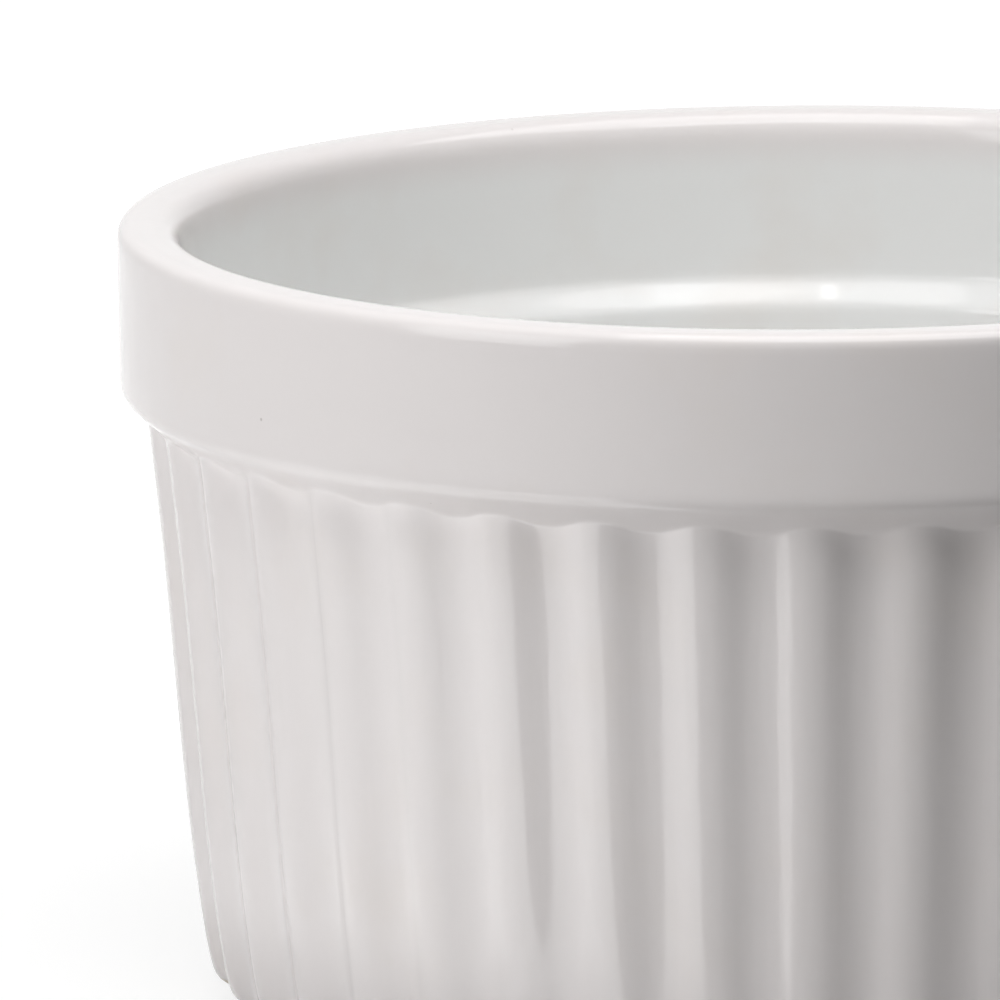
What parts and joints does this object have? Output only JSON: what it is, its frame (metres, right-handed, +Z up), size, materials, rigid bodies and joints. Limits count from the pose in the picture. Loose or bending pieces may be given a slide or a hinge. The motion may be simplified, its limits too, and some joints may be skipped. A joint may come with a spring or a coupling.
{
  "type": "ramekin",
  "caption": "Round fluted porcelain ramekin with a smooth thick band below its rim, glazed inside and out, standing on a bare foot ring.",
  "frame": {"origin": "centre of the foot ring's standing face, on the dish's axis", "axes": "+Z up along the dish's axis to the open mouth, +X and +Y each through the middle of a ridge of the fluted wall"},
  "size_m": [0.09, 0.09, 0.0515],
  "materials": {
    "bare_porcelain": "fired and unglazed, matt, slightly rough",
    "white_glaze": "glossy clear-white glaze over white porcelain"
  },
  "bodies": {
    "root": {"porcelain_body": "bare_porcelain", "glaze_coat": "white_glaze", "underside_glaze": "white_glaze"}
  },
  "joints": []
}
